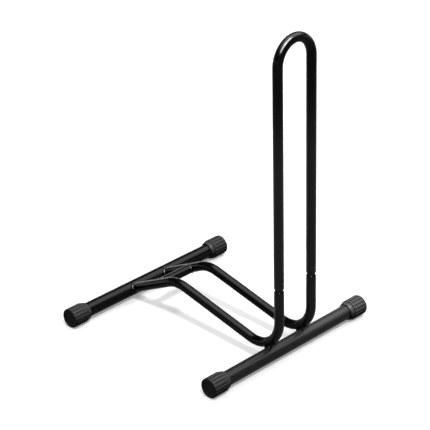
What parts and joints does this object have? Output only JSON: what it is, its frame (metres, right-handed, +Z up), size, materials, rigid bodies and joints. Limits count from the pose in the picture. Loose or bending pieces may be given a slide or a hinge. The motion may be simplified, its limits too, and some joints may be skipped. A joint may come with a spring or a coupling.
{
  "type": "bike display stand",
  "caption": "Floor stand for a bicycle: cross tubes on ribbed end caps carry bent rails, a wheel stop and a tall hoop that lifts off.",
  "frame": {"origin": "on the floor, under the middle of the stand's length and width", "axes": "+Z up, +X from the low rear cross tube towards the tall hoop, +Y to the left"},
  "size_m": [0.499, 0.49, 0.76],
  "materials": {
    "frame_paint": "semi-gloss black powder coat",
    "cap_plastic": "satin moulded black",
    "screw_steel": "black oxide"
  },
  "bodies": {
    "base": {"front_cross_tube": "frame_paint", "rear_cross_tube": "frame_paint", "left_rail": "frame_paint", "right_rail": "frame_paint", "wheel_stop_bar": "frame_paint", "front_left_cap": "cap_plastic", "front_right_cap": "cap_plastic", "rear_left_cap": "cap_plastic", "rear_right_cap": "cap_plastic", "weld_left_rail_rear": "frame_paint", "weld_right_rail_rear": "frame_paint", "weld_left_rail_front": "frame_paint", "weld_right_rail_front": "frame_paint", "weld_left_stop_bar": "frame_paint", "weld_right_stop_bar": "frame_paint"},
    "upper_hoop": {"hoop": "frame_paint", "left_joint_screw": "screw_steel", "right_joint_screw": "screw_steel"}
  },
  "joints": [
    {"name": "hoop_lift", "type": "slide", "parent": "base", "child": "upper_hoop", "axis": [0, 0, 1], "range_m": [0, 0.06]}
  ]
}
